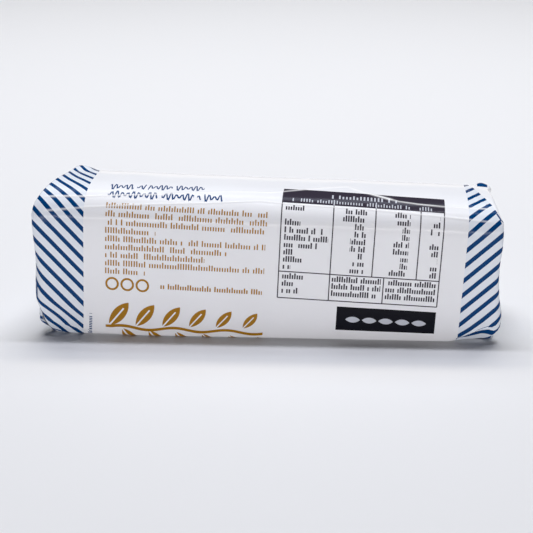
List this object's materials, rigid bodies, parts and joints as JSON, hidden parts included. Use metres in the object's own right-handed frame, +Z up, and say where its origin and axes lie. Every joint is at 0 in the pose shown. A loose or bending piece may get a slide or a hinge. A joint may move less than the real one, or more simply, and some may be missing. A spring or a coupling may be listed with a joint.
{
  "type": "wrapped goat cheese log",
  "caption": "Shut log-shaped pack of soft goat cheese in glossy printed film, domed on top, flat underneath, with both ends folded in like an envelope.",
  "frame": {"origin": "under the middle of the pack, on the flat base it rests on", "axes": "+X along the log towards its lower end, +Y from the printed front to the back, +Z up"},
  "size_m": [0.1414, 0.036, 0.046],
  "materials": {
    "printed_film": "glossy white film with printed navy diagonal stripes, ochre and grey fields"
  },
  "bodies": {
    "root": {"wrapped_cheese": "printed_film"}
  },
  "joints": []
}
